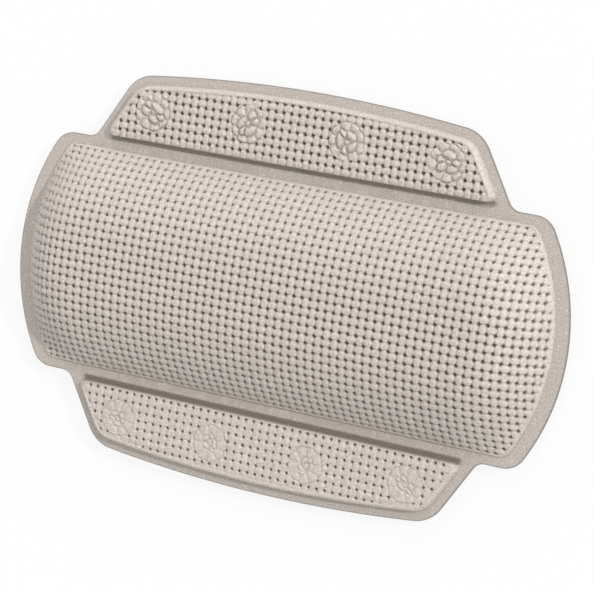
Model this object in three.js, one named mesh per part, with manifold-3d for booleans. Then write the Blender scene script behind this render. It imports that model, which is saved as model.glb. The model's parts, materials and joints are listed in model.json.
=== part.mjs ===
// A bath pillow: a domed, foam-filled vinyl pillow with a padded flap hinged along each long side,
// held to a tub by suction cups behind the flaps. Millimetres, +Z up, lying on its cups, dome up.
import * as THREE from "three";
import { mergeVertices } from "three/addons/utils/BufferGeometryUtils.js";
import Module from "manifold-3d";

const wasm = await Module();
wasm.setup();

// Plan of the pillow
const pillowHalfWidth = 86; // middle to the long edge
const cornerHalfLength = 189; // middle to an end corner, before rounding
const endBow = 26; // how far an end bulges past its corners
const cornerRadius = 16.5;

// Plan of a flap
const flapShoulder = 26.5; // end corner of the pillow to the flap's side, along the long edge
const flapDepth = 48; // pillow's edge to the flap's outer corners
const flapTaper = 28.5; // how far each side leans in over that depth
const flapBow = 8.5; // how far the outer edge bulges past its corners
const flapCornerRadius = 25;
const notchRadius = 10; // hollow round where a flap leaves the pillow

// Fold lines
const flapRootGap = 0.3; // pillow's long edge out to the root of the flap's sheets
const foldHalfGap = 2; // fold axis to the sheets on each side of it
const webThinning = 0.8; // how much the web is pressed in on each face along the fold
const webThinHalfWidth = 0.6;

// Sheets and fits
const skinThickness = 1.2;
const backThickness = 1;
const fitGap = 0.3; // between pieces that lie against each other

// Dome of the pillow
const domeHeight = 33; // border to crown
const domeSideBorder = 7; // flat border along the long sides
const domeEndBorder = 10; // flat border along the ends
const domeEndRun = 51; // length over which each end rises to the crown
const domeEdgeWall = 1; // low wall round the foot of the dome
const domeEdgeDraft = 0.6;
const sideFullness = 2.8; // power of the crown's curve across the pillow, higher is fuller
const endFullness = 2.5; // power of its curve towards each end
const domeSteps = [0.05, 0.14, 0.28, 0.46, 0.68, 0.92]; // shares of the way from the foot to the crown

// Pads of the flaps
const padBorder = 6.5; // flat border round a pad
const padRootBorder = 3; // pillow's long edge to the pad
const padRootRadius = 4;
const padDraft = 1;
const padRound = 1.8;
const padCrown = 0.8;
const padCrownInset = 8;

// Suction cups and what holds them
const cupsPerFlap = 4;
const cupEndInset = 19.7; // flap's outer corner to the first cup, along the flap
const cupOffset = 1.3; // pad's middle line out to the cup
const cupRadius = 16;
const cupLip = 2; // width of the flat sealing rim
const cupEdge = 0.8; // height of the rim's outer edge
const cupHeight = 9; // rim to the shoulder of the bell
const cupHollow = 6.3;
const neckRadius = 3.25;
const neckClearance = 0.4;
const headRadius = 6.5;
const headThickness = 1.8;
const headChamfer = 0.6;
const drawTravel = 2.5; // how far a cup draws out before its head meets the patch
const patchRadius = 11;
const patchThickness = 0.8;
const punchClearance = 0.5; // patch to the foam punched out round it

// Rosettes pressed into the flaps over the cups
const rosetteRadius = 14;
const grooveWidth = 1.6;
const grooveDepth = 0.6;

// Levels, from the cups' rims up
const backZ = cupHeight + fitGap;
const insideZ = backZ + backThickness + fitGap;
const borderZ = insideZ + skinThickness;
const patchTop = insideZ + patchThickness;
const headZ = patchTop + fitGap + drawTravel;
const headTop = headZ + headThickness;
const padHeight = headTop + fitGap - insideZ;

// Circles that the bulging edges follow, and the dome inside them
const domeHalfWidth = pillowHalfWidth - domeSideBorder;
const endRadius = bulgeRadius(pillowHalfWidth, endBow);
const endCentreX = cornerHalfLength + endBow - endRadius;
const flapRootHalf = cornerHalfLength - flapShoulder;
const flapTipHalf = flapRootHalf - flapTaper;
const flapTopRadius = bulgeRadius(flapTipHalf, flapBow);
const flapTopCentreY = pillowHalfWidth + flapDepth + flapBow - flapTopRadius;

// Side of a flap: its direction up the flap, its outward normal and its distance from the middle
const sideAlong = new THREE.Vector2(-flapTaper, flapDepth).normalize();
const sideNormal = new THREE.Vector2(sideAlong.y, -sideAlong.x);
const sideAngle = sideNormal.angle();
const sideReach = sideNormal.dot(new THREE.Vector2(flapRootHalf, pillowHalfWidth));

// Fold line and its web
const flapRootY = pillowHalfWidth + flapRootGap;
const foldY = flapRootY - foldHalfGap;
const notchCentreY = pillowHalfWidth + notchRadius;
const notchCentreX = (sideReach + notchRadius - sideNormal.y * notchCentreY) / sideNormal.x;
const foldHalfLength = notchCentreX;
const padRootY = pillowHalfWidth + padRootBorder;

// Steps along each kind of arc
const cornerSteps = 4;
const edgeSteps = 6;
const endSteps = 12;
const roundSegments = 20;

function bulgeRadius(halfChord, bow) {
  return (halfChord ** 2 + bow ** 2) / (2 * bow);
}

function arc(x, y, radius, from, to, steps) {
  return new THREE.EllipseCurve(x, y, radius, radius, from, to, to < from).getPoints(steps);
}

// Outline of the pillow, or of its dome, drawn in from the long edges and from the ends.
function pillowOutline(sideInset, endInset) {
  const radius = cornerRadius - sideInset;
  const bulge = endRadius - endInset;
  const cornerY = pillowHalfWidth - sideInset - radius;
  const cornerX = endCentreX + Math.sqrt((bulge - radius) ** 2 - cornerY ** 2);
  const turn = Math.atan2(cornerY, cornerX - endCentreX);
  const lower = arc(cornerX, -cornerY, radius, -Math.PI / 2, -turn, cornerSteps);
  const end = arc(endCentreX, 0, bulge, -turn, turn, endSteps).slice(1);
  const upper = arc(cornerX, cornerY, radius, turn, Math.PI / 2, cornerSteps).slice(1);
  const right = [...lower, ...end, ...upper];
  return [...right, ...right.map((p) => p.clone().negate())];
}

function spread(from, to, steps) {
  return Array.from({ length: steps + 1 }, (_, i) => from + ((to - from) * i) / steps);
}

// Outline of the upper flap drawn in from its edges. Its root corners are hollow notches on the
// flap itself and small rounds on its pad.
function flapOutline(inset, rootCorner) {
  const radius = flapCornerRadius - inset;
  const bulge = flapTopRadius - inset;
  const onSide = sideNormal.clone().multiplyScalar(sideReach - inset - radius);
  const fromTop = onSide.clone().sub(new THREE.Vector2(0, flapTopCentreY));
  const lean = fromTop.dot(sideAlong);
  const climb = Math.sqrt(lean ** 2 - fromTop.lengthSq() + (bulge - radius) ** 2) - lean;
  const corner = onSide.addScaledVector(sideAlong, climb);
  const turn = Math.atan2(corner.y - flapTopCentreY, corner.x);
  const half = [
    ...rootCorner,
    ...arc(corner.x, corner.y, radius, sideAngle, turn, cornerSteps),
    ...arc(0, flapTopCentreY, bulge, turn, Math.PI / 2, edgeSteps).slice(1),
  ];
  const mirrored = half.slice(0, -1).reverse();
  return [...half, ...mirrored.map((p) => new THREE.Vector2(-p.x, p.y))];
}

function notchCorner() {
  const cut = Math.acos((notchCentreY - flapRootY) / notchRadius);
  const from = 1.5 * Math.PI - cut;
  return arc(notchCentreX, notchCentreY, notchRadius, from, Math.PI + sideAngle, cornerSteps);
}

function padRootCorner(drawn) {
  const y = padRootY + drawn + padRootRadius;
  const fromSide = padBorder + drawn + padRootRadius;
  const x = (sideReach - fromSide - sideNormal.y * y) / sideNormal.x;
  return arc(x, y, padRootRadius, -Math.PI / 2, sideAngle, cornerSteps);
}

// Draws an outline in towards its middle by one inset along X and another along Y.
function drawIn(outline, insetX, insetY) {
  const reach = new THREE.Box2().setFromPoints(outline);
  const middle = reach.getCenter(new THREE.Vector2());
  const half = reach.getSize(new THREE.Vector2()).divideScalar(2);
  const share = new THREE.Vector2(1 - insetX / half.x, 1 - insetY / half.y);
  return outline.map((p) => p.clone().sub(middle).multiply(share).add(middle));
}

function atLevel(outline, z) {
  return outline.map((p) => new THREE.Vector3(p.x, p.y, z));
}

// Height over the dome's low wall at a point of its face. The crown is a power curve across the
// pillow and another towards each end.
function domeRise(p) {
  const bulge = endRadius - domeEndBorder;
  const foot = endCentreX + Math.sqrt(bulge ** 2 - p.y ** 2);
  const intoEnd = (Math.abs(p.x) - foot + domeEndRun) / domeEndRun;
  const along = 1 - THREE.MathUtils.clamp(intoEnd, 0, 1) ** endFullness;
  const across = 1 - Math.abs(p.y / domeHalfWidth) ** sideFullness;
  return (domeHeight - domeEdgeWall) * across * along;
}

// Rings of the dome from its foot to near its crown, drawn in by a depth under the skin's face,
// over a base at the given level.
function domeRings(depth, baseZ) {
  const foot = pillowOutline(domeSideBorder, domeEndBorder);
  const wallInset = depth + domeEdgeDraft;
  const wallZ = baseZ + domeEdgeWall;
  const crown = domeSteps.map((step) => {
    const face = drawIn(foot, step * domeEndRun, step * domeHalfWidth);
    const rises = face.map(domeRise);
    return drawIn(face, depth, depth).map((p, i) => new THREE.Vector3(p.x, p.y, wallZ + rises[i]));
  });
  return [
    atLevel(drawIn(foot, depth, depth), baseZ),
    atLevel(drawIn(foot, wallInset, wallInset), wallZ),
    ...crown,
  ];
}

// Rings of a flap's pad from its foot to the flat of its crown, drawn in by a depth under the
// skin's face, over a base at the given level.
function padRings(depth, baseZ) {
  const steps = [
    { inset: 0, rise: 0 },
    { inset: padDraft, rise: padHeight - padRound },
    { inset: padDraft + padRound, rise: padHeight },
    { inset: padCrownInset, rise: padHeight + padCrown },
  ];
  return steps.map(({ inset, rise }) => {
    const drawn = depth + inset;
    const outline = flapOutline(padBorder + drawn, padRootCorner(drawn));
    return atLevel(outline, baseZ + rise);
  });
}

// Closed solid through a stack of rings with as many points each, capped by a fan at both ends.
// A quad is split along its shorter diagonal, so the two faces of a skin split alike.
function loft(rings) {
  const count = rings[0].length;
  const last = rings.length - 1;
  const middles = [rings[0], rings[last]].map((ring) =>
    ring.reduce((sum, p) => sum.add(p), new THREE.Vector3()).divideScalar(count),
  );
  const points = [...rings.flat(), ...middles];
  const bottom = points.length - 2;
  const top = points.length - 1;
  const faces = [];
  for (let i = 0; i < count; i++) {
    const next = (i + 1) % count;
    for (let k = 0; k < last; k++) {
      const low = k * count;
      const high = low + count;
      const rising = rings[k][i].distanceTo(rings[k + 1][next]);
      const falling = rings[k][next].distanceTo(rings[k + 1][i]);
      if (rising < falling) {
        faces.push(low + i, low + next, high + next);
        faces.push(low + i, high + next, high + i);
      } else {
        faces.push(low + i, low + next, high + i);
        faces.push(low + next, high + next, high + i);
      }
    }
    faces.push(bottom, next, i);
    faces.push(top, last * count + i, last * count + next);
  }
  return new THREE.BufferGeometry().setFromPoints(points).setIndex(faces);
}

// Skin with a flat border round a raised form: under the form, out under the border, up its edge
// and over the form again.
function skin(border, rings, underRings) {
  return loft([
    ...underRings.toReversed(),
    atLevel(border, insideZ),
    atLevel(border, borderZ),
    ...rings,
  ]);
}

// Foam under a skin: a flat base, then the skin's own form a little smaller and lower.
function foam([foot, ...rings]) {
  const drop = new THREE.Vector3(0, 0, -fitGap);
  return loft([foot, ...rings.map((ring) => ring.map((p) => p.clone().add(drop)))]);
}

function sheet(outline, holes) {
  const shape = new THREE.Shape(outline.map((p) => new THREE.Vector2(p.x, p.y)));
  shape.holes = holes;
  const geometry = new THREE.ExtrudeGeometry(shape, { depth: backThickness, bevelEnabled: false });
  return geometry.translate(0, 0, backZ);
}

function turned(profile) {
  const points = profile.map(([r, z]) => new THREE.Vector2(r, z));
  return new THREE.LatheGeometry(points, roundSegments).rotateX(Math.PI / 2);
}

function solidOf(geometry) {
  const bare = geometry.clone();
  bare.deleteAttribute("normal");
  bare.deleteAttribute("uv");
  const merged = mergeVertices(bare);
  return new wasm.Manifold(
    new wasm.Mesh({
      numProp: 3,
      vertProperties: merged.attributes.position.array,
      triVerts: Uint32Array.from(merged.index.array),
    }),
  );
}

// Cuts every cutter out of a piece.
function cut(geometry, cutters) {
  const solid = cutters.reduce((left, c) => left.subtract(solidOf(c)), solidOf(geometry));
  const mesh = solid.getMesh();
  const result = new THREE.BufferGeometry();
  result.setAttribute("position", new THREE.Float32BufferAttribute(mesh.vertProperties, 3));
  return result.setIndex([...mesh.triVerts]);
}

const vinyl = new THREE.MeshStandardMaterial({ color: "#cbc0b5", roughness: 0.55, metalness: 0 });
const backVinyl = new THREE.MeshStandardMaterial({ color: "#c2b6aa", roughness: 0.6, metalness: 0 });
const foamFill = new THREE.MeshStandardMaterial({ color: "#ece6d8", roughness: 0.95, metalness: 0 });
const clearVinyl = new THREE.MeshStandardMaterial({ color: "#dfe3e2", roughness: 0.2, metalness: 0 });

function piece(name, geometry, material) {
  const mesh = new THREE.Mesh(geometry, material);
  mesh.name = name;
  return mesh;
}

// Room for the web of a fold, cut out of the pillow's border along one long side
function webRoom() {
  const reach = flapRootY - foldY + foldHalfGap;
  const tall = borderZ - backZ + 2 * fitGap;
  const box = new THREE.BoxGeometry(2 * (foldHalfLength + fitGap), reach, tall);
  return box.translate(0, foldY - foldHalfGap + reach / 2, (backZ + borderZ) / 2);
}

// Pillow: front skin, foam core and back sheet
function pillow() {
  const border = pillowOutline(0, 0);
  const rooms = [webRoom(), webRoom().rotateZ(Math.PI)];
  const front = skin(border, domeRings(0, borderZ), domeRings(skinThickness, insideZ));
  const group = new THREE.Group();
  group.add(
    piece("pillow_front_skin", cut(front, rooms), vinyl),
    piece("pillow_foam_core", foam(domeRings(skinThickness + fitGap, insideZ)), foamFill),
    piece("pillow_back_sheet", cut(sheet(border, []), rooms), backVinyl),
  );
  return group;
}

// Web of a fold: a strip that is thinned along the fold axis from both faces
function hingeWeb() {
  const edge = foldHalfGap - fitGap;
  const profile = [
    [-edge, backZ],
    [-webThinHalfWidth, backZ + webThinning],
    [webThinHalfWidth, backZ + webThinning],
    [edge, backZ],
    [edge, borderZ],
    [webThinHalfWidth, borderZ - webThinning],
    [-webThinHalfWidth, borderZ - webThinning],
    [-edge, borderZ],
  ];
  const shape = new THREE.Shape(profile.map(([y, z]) => new THREE.Vector2(y, z)));
  const strip = new THREE.ExtrudeGeometry(shape, { depth: 2 * foldHalfLength, bevelEnabled: false });
  strip.rotateX(Math.PI / 2).rotateZ(Math.PI / 2);
  return strip.translate(-foldHalfLength, foldY, 0);
}

// Centres of a flap's cups, evenly spaced along the middle of its pad
function cupCentres() {
  const reach = flapTipHalf - cupEndInset;
  return spread(-reach, reach, cupsPerFlap - 1).map((x) => {
    const outer = flapTopCentreY + Math.sqrt((flapTopRadius - padBorder) ** 2 - x ** 2);
    return new THREE.Vector2(x, (padRootY + outer) / 2 + cupOffset);
  });
}

function suctionCup() {
  const lipInner = cupRadius - cupLip;
  const inside = spread(0, lipInner, cornerSteps).map((r) => [r, cupHollow * (1 - (r / lipInner) ** 2)]);
  const outside = spread(cupRadius, neckRadius, cornerSteps).map((r) => {
    const share = (r - neckRadius) / (cupRadius - neckRadius);
    return [r, cupEdge + (cupHeight - cupEdge) * (1 - share ** 2)];
  });
  return turned([
    ...inside,
    [cupRadius, 0],
    ...outside,
    [neckRadius, headZ],
    [headRadius, headZ],
    [headRadius, headTop - headChamfer],
    [headRadius - headChamfer, headTop],
    [0, headTop],
  ]);
}

function patch() {
  const hole = neckRadius + neckClearance;
  return turned([
    [hole, insideZ],
    [patchRadius, insideZ],
    [patchRadius, patchTop],
    [hole, patchTop],
    [hole, insideZ],
  ]);
}

// Hole through a pad's foam that leaves room for a patch and for the head of its cup
function punch() {
  const padTall = padHeight + padCrown;
  const radius = patchRadius + punchClearance;
  const cylinder = new THREE.CylinderGeometry(radius, radius, padTall + 2 * fitGap, roundSegments);
  return cylinder.rotateX(Math.PI / 2).translate(0, 0, insideZ + padTall / 2);
}

function rosetteGroove() {
  const top = borderZ + padHeight + padCrown;
  const over = top + grooveDepth;
  const inner = rosetteRadius - grooveWidth;
  return turned([
    [rosetteRadius - grooveWidth / 2, top - grooveDepth],
    [rosetteRadius, top],
    [rosetteRadius, over],
    [inner, over],
    [inner, top],
    [rosetteRadius - grooveWidth / 2, top - grooveDepth],
  ]);
}

// Flap on the +Y side with its web and cups, turned half round for the other side
function flap(side) {
  const border = flapOutline(0, notchCorner());
  const centres = cupCentres();
  const atCups = (make) => centres.map((c) => make().translate(c.x, c.y, 0));
  const holes = centres.map((c) => {
    const hole = new THREE.Path();
    return hole.setFromPoints(
      arc(c.x, c.y, neckRadius + neckClearance, 0, 2 * Math.PI, roundSegments).slice(1),
    );
  });
  const front = skin(border, padRings(0, borderZ), padRings(skinThickness, insideZ));
  const pad = foam(padRings(skinThickness + fitGap, insideZ));
  const group = new THREE.Group();
  group.rotation.z = side === "upper" ? 0 : Math.PI;
  group.add(
    piece(side + "_hinge_web", hingeWeb(), vinyl),
    piece(side + "_flap_front_skin", cut(front, atCups(rosetteGroove)), vinyl),
    piece(side + "_flap_foam_pad", cut(pad, atCups(punch)), foamFill),
    piece(side + "_flap_back_sheet", sheet(border, holes), backVinyl),
  );
  centres.forEach((c, i) => {
    // numbered from -X to +X on both flaps
    const number = side === "upper" ? i + 1 : centres.length - i;
    const ring = piece(side + "_cup_patch_" + number, patch(), backVinyl);
    const cup = piece(side + "_suction_cup_" + number, suctionCup(), clearVinyl);
    ring.position.set(c.x, c.y, 0);
    cup.position.set(c.x, c.y, 0);
    group.add(ring, cup);
  });
  return group;
}

const bathPillow = new THREE.Group();
bathPillow.add(pillow(), flap("upper"), flap("lower"));

export default bathPillow;
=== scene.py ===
import json
import math

import bpy
import numpy as np
from mathutils import Matrix, Vector

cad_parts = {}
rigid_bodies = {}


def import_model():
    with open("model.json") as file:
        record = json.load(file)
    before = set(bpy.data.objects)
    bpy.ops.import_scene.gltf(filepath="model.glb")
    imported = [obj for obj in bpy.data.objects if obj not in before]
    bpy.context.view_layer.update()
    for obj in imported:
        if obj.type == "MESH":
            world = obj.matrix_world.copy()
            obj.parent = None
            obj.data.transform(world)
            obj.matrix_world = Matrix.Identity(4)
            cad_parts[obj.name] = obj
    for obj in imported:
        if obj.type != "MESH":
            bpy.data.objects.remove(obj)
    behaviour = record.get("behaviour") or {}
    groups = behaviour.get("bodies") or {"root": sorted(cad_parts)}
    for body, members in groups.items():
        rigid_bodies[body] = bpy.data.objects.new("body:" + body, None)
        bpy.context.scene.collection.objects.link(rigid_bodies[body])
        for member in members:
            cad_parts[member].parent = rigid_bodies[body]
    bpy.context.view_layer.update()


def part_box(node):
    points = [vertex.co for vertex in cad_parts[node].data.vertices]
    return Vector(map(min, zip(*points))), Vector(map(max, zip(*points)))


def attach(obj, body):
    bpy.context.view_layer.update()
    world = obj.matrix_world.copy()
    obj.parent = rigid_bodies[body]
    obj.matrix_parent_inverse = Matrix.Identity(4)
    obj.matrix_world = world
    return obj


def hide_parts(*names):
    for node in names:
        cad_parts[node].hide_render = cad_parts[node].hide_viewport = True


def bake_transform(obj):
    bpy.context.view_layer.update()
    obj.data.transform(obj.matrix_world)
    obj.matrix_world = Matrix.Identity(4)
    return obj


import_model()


# Pillow cover. The front of the pillow is one sheet of beige vinyl pressed into a basket weave and
# drawn tight over a foam core. It is welded to the back sheet along a smooth flat border.
# All sizes in this script are millimetres, and points are turned into metres as they are placed.
half_width = 86
corner_half_length = 189
end_bow = 26
corner_round = 16.5
dome_side_border = 7
dome_end_border = 10
dome_end_run = 51
dome_rise = 32
dome_wall = 1
dome_draft = 0.6
dome_fullness = 2.8  # powers of the crown's curves, across and towards the ends
dome_end_fullness = 2.5
end_radius = (half_width**2 + end_bow**2) / (2 * end_bow)
end_centre = corner_half_length + end_bow - end_radius
fold_half_length = 168.2
seam_y = 79.5  # the flaps' covers begin along the foot of the dome
seam_gap = 0.02
cover_top = 1000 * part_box("upper_hinge_web")[1][2]
back_top = 1000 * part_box("pillow_back_sheet")[1][2]
back_low = 1000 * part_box("pillow_back_sheet")[0][2]
cover_low = back_top + seam_gap


def smooth(share):
    share = np.clip(share, 0, 1)
    return share * share * (3 - 2 * share)


def arc(x, y, radius, start, stop, steps):
    turn = np.linspace(start, stop, steps)
    return np.column_stack([x + radius * np.cos(turn), y + radius * np.sin(turn)])


def line(start, stop, steps):
    """A straight run of points."""
    return np.linspace(start, stop, steps)


def path(*runs):
    """Runs of points end to end, without the points that two runs share."""
    return np.concatenate([runs[0]] + [run[1:] for run in runs[1:]])


def half_turned(half):
    """A closed outline from its half, which is repeated turned half round."""
    return np.concatenate([half[:-1], -half[:-1]])


def pillow_end(side_inset, end_inset):
    """The right-hand end of the pillow, or of its dome, from the lower long edge to the upper one."""
    radius = corner_round - side_inset
    bulge = end_radius - end_inset
    y = half_width - side_inset - radius
    x = end_centre + math.sqrt((bulge - radius) ** 2 - y**2)
    turn = math.atan2(y, x - end_centre)
    return path(
        arc(x, -y, radius, -math.pi / 2, -turn, 24),
        arc(end_centre, 0, bulge, -turn, turn, 120),
        arc(x, y, radius, turn, math.pi / 2, 24),
    )


def dome_outline(inset):
    end = pillow_end(dome_side_border + inset, dome_end_border + inset)
    return half_turned(path(end, line(end[-1], -end[0], 200)))


def pillow_border(inset):
    """The pillow's outer edge, set back along each fold, where a flap's cover joins it."""
    end = pillow_end(inset, inset)
    edge = half_width - inset
    return half_turned(
        path(
            end,
            line(end[-1], (fold_half_length, edge), 8),
            line((fold_half_length, edge), (fold_half_length, seam_y), 8),
            line((fold_half_length, seam_y), (-fold_half_length, seam_y), 160),
            line((-fold_half_length, seam_y), (-fold_half_length, edge), 8),
            line((-fold_half_length, edge), -end[0], 8),
        )
    )


def points_of(piece):
    points = np.empty(3 * len(piece.data.vertices), np.float32)
    piece.data.vertices.foreach_get("co", points)
    return points.reshape(-1, 3).astype(float) * 1000


def place(piece, points):
    piece.data.vertices.foreach_set("co", (points / 1000).astype(np.float32).ravel())
    piece.data.update()


def chosen_of(piece):
    chosen = np.empty(len(piece.data.vertices), bool)
    piece.data.vertices.foreach_get("select", chosen)
    return chosen


def begin(name):
    """Names the primitive that was just added."""
    piece = bpy.context.object
    piece.name = name
    piece.data.name = name
    return piece


def add_grid(name, columns, rows):
    """A flat grid, with the column and the row that each of its points is on."""
    bpy.ops.object.select_all(action="DESELECT")
    bpy.ops.mesh.primitive_grid_add(x_subdivisions=columns - 1, y_subdivisions=rows - 1, size=1)
    piece = begin(name)
    flat = points_of(piece) / 1000 + 0.5
    column = np.rint(flat[:, 0] * (columns - 1)).astype(int)
    row = np.rint(flat[:, 1] * (rows - 1)).astype(int)
    return piece, column, row


def add_ring(name, outline, z):
    """A closed loop of edges along an outline."""
    bpy.ops.object.select_all(action="DESELECT")
    bpy.ops.mesh.primitive_circle_add(vertices=len(outline), radius=1, fill_type="NOTHING")
    ring = begin(name)
    place(ring, np.column_stack([outline, np.full(len(outline), z)]))
    return ring


def choose_all():
    """Selects all of the piece that was just added."""
    bpy.ops.object.mode_set(mode="EDIT")
    bpy.ops.mesh.select_all(action="SELECT")
    bpy.ops.object.mode_set(mode="OBJECT")


def choose_rim():
    """Selects the open rim of a piece, for the rings that grow from it."""
    bpy.ops.object.mode_set(mode="EDIT")
    bpy.ops.mesh.select_all(action="SELECT")
    bpy.ops.mesh.region_to_loop()
    bpy.ops.object.mode_set(mode="OBJECT")


def painted_shade_of(piece):
    """The painted shade of each point, kept in its "hole" attribute: holes, grooves, creases and edges
    are darkened by it.
    """
    if "hole" not in piece.data.attributes:
        piece.data.attributes.new("hole", "FLOAT", "POINT")
    painted_marks = np.zeros(len(piece.data.vertices), np.float32)
    piece.data.attributes["hole"].data.foreach_get("value", painted_marks)
    return painted_marks


def paint_shade(piece, painted_marks):
    piece.data.attributes["hole"].data.foreach_set("value", painted_marks.astype(np.float32))


def grow(piece, where, crease=0):
    """Extrudes the selected loop, and puts each new point where the function says."""
    bpy.ops.object.mode_set(mode="EDIT")
    bpy.ops.mesh.extrude_edges_move()
    bpy.ops.object.mode_set(mode="OBJECT")
    chosen = chosen_of(piece)
    points = points_of(piece)
    points[chosen] = where(points[chosen])
    place(piece, points)
    # crease is the painted shade given to the new ring's points
    paint_shade(piece, np.where(chosen, crease, painted_shade_of(piece)))


def follow(points, near, far):
    """Points on one outline moved to the same places along another."""
    ahead = np.roll(near, -1, axis=0) - near
    length = np.maximum((ahead**2).sum(axis=1), 1e-9)
    offset = points[:, None, :2] - near[None]
    share = np.clip((offset * ahead).sum(axis=2) / length, 0, 1)
    gap = ((offset - share[..., None] * ahead) ** 2).sum(axis=2)
    nearest = gap.argmin(axis=1)
    share = share[np.arange(len(points)), nearest][:, None]
    return far[nearest] * (1 - share) + np.roll(far, -1, axis=0)[nearest] * share


def ring_at(near, far, z):
    """A place for a grown ring: along another outline, at a level."""
    def where(points):
        moved = follow(points, near, far)
        return np.column_stack([moved, np.full(len(moved), z)])
    return where


def merge_close(distance):
    """Merges points of the active piece that lie close together."""
    bpy.ops.object.mode_set(mode="EDIT")
    bpy.ops.mesh.select_all(action="SELECT")
    bpy.ops.mesh.remove_doubles(threshold=distance / 1000)
    bpy.ops.object.mode_set(mode="OBJECT")


def join(piece, *others):
    bpy.ops.object.select_all(action="DESELECT")
    for other in others:
        other.select_set(True)
    piece.select_set(True)
    bpy.context.view_layer.objects.active = piece
    bpy.ops.object.join()


level_tolerance = 0.01


def choose_level(piece, z):
    """Selects the open loops that lie at a level."""
    bpy.ops.object.mode_set(mode="EDIT")
    bpy.ops.mesh.select_mode(type="EDGE")
    bpy.ops.mesh.select_all(action="DESELECT")
    bpy.ops.mesh.select_non_manifold(
        extend=False, use_wire=True, use_boundary=True, use_multi_face=False,
        use_non_contiguous=False, use_verts=False,
    )
    bpy.ops.object.mode_set(mode="OBJECT")
    edges = piece.data.edges
    ends = np.empty(2 * len(edges), int)
    edges.foreach_get("vertices", ends)
    open_edge = np.empty(len(edges), bool)
    edges.foreach_get("select", open_edge)
    level = np.abs(points_of(piece)[:, 2] - z) < level_tolerance
    keep = open_edge & level[ends.reshape(-1, 2)].all(axis=1)
    chosen = np.zeros(len(level), bool)
    chosen[ends.reshape(-1, 2)[keep].ravel()] = True
    piece.data.vertices.foreach_set("select", chosen)
    edges.foreach_set("select", keep)
    bpy.ops.object.mode_set(mode="EDIT")


def fill_level(piece, z):
    """Fills the flat face between all the open loops at a level."""
    choose_level(piece, z)
    bpy.ops.mesh.fill(use_beauty=True)
    bpy.ops.object.mode_set(mode="OBJECT")


square_edge = 60  # degrees


def close_up():
    """Turns all faces outwards and shades them smooth, apart from square edges."""
    bpy.ops.object.mode_set(mode="EDIT")
    bpy.ops.mesh.select_all(action="SELECT")
    bpy.ops.mesh.normals_make_consistent(inside=False)
    bpy.ops.object.mode_set(mode="OBJECT")
    bpy.ops.object.shade_smooth_by_angle(angle=math.radians(square_edge))


settled = 9  # runs after which a value has reached its limit


def soft_limit(value, limit, run):
    """The value, which eases into its limit over a short run."""
    over = np.maximum(value - limit + run, 0)
    eased = limit - run * np.exp(-over / run)
    eased = np.where(over > settled * run, limit, eased)
    return np.where(over > 0, eased, value)


hole_floor = 0.12
hole_rim = 0.36
hole_squareness = 1.05
strand_unevenness = 0.06
strand_scatter = (12.9, 78.2)  # makes strands of unlike height


def weave_form(across, along, strand, puff, hole_size):
    """The pressed weave: its strands, 1 on a crown, and its holes, 1 on a floor and at whole numbers."""
    half_long, half_wide, roundness = strand
    height = np.zeros_like(across)
    for step_across, step_along in ((0, 0), (1, 0), (-1, 0), (0, 1), (0, -1)):
        column = np.floor(across) + step_across
        row = np.floor(along) + step_along
        x = np.abs(across - column - 0.5)
        y = np.abs(along - row - 0.5)
        level = (column + row) % 2 == 0
        lengthwise = np.where(level, x, y) / half_long
        crosswise = np.where(level, y, x) / half_wide
        fall = lengthwise**roundness + crosswise**roundness
        scatter = np.sin(strand_scatter[0] * column + strand_scatter[1] * row)
        crown = 1 - strand_unevenness + strand_unevenness * scatter
        height = np.maximum(height, crown * np.clip(1 - fall, 0, 1) ** puff)
    off_x = np.abs(across - np.rint(across))
    off_y = np.abs(along - np.rint(along))
    from_hole = (off_x**hole_squareness + off_y**hole_squareness) ** (1 / hole_squareness)
    hole = 1 - smooth((from_hole / hole_size - hole_floor) / (hole_rim - hole_floor))
    return height, hole


dome_pitch_x = 6.215
dome_pitch_y = 6.12
dome_phase_x = 1.07
dome_relief = 1.4
dome_strand = (0.66, 0.4, 2.6)  # half length and half width in pitches, roundness
upper_shrink = 0.4  # the holes are smaller towards the upper side
side_flattening = 0.35  # the strands are flatter towards both sides
# painted shade in the grooves between strands
dome_groove_shade = 0.22
dome_groove_level = 0.8
dome_groove_run = 0.3
dome_puff = 0.33
hole_depth = 1.5
end_easing = 1.5
end_margin = 0.8
side_margin = 0.6
margin_run = 1.6
cell_merge_gap = 0.03
cells_up = 16
cells_along = 38
spare_reach = 20
row_clearance = 0.4
curve_steps = 800
end_steps = 400
dome_end_from = 170
dome_half = half_width - dome_side_border
lines_in_cell = (-0.26, -0.19, -0.12, 0, 0.12, 0.19, 0.26, 0.5)  # close together round a hole
dome_rim = dome_outline(dome_draft)


def dome_foot_x(y):
    return end_centre + np.sqrt((end_radius - dome_end_border) ** 2 - y**2)


def dome_height(x, y):
    """Height over the border. The crown is a power curve across, and another towards each end."""
    into_end = np.clip((np.abs(x) - dome_foot_x(y)) / dome_end_run + 1, 0, 1)
    across = 1 - np.abs(y / dome_half) ** dome_fullness
    return dome_wall + dome_rise * across * (1 - into_end**dome_end_fullness)


def arc_length(x, z):
    steps = np.hypot(np.diff(x, axis=-1), np.diff(z, axis=-1))
    return np.concatenate([np.zeros(steps.shape[:-1] + (1,)), steps.cumsum(axis=-1)], axis=-1)


# rows follow the length of the curve across the crown
rim_y = dome_half - dome_draft
across_y = np.linspace(0, rim_y, curve_steps)
across_length = arc_length(across_y, dome_height(0 * across_y, across_y))
dome_rows = np.arange(-cells_up, cells_up + 1)[:, None] + np.array(lines_in_cell)
dome_rows = np.sort(dome_rows.ravel() * dome_pitch_y)
dome_rows = dome_rows[np.abs(dome_rows) < across_length[-1] - row_clearance]
dome_rows = np.concatenate([[-across_length[-1]], dome_rows, [across_length[-1]]])
row_y = np.sign(dome_rows) * np.interp(np.abs(dome_rows), across_length, across_y)

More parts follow.
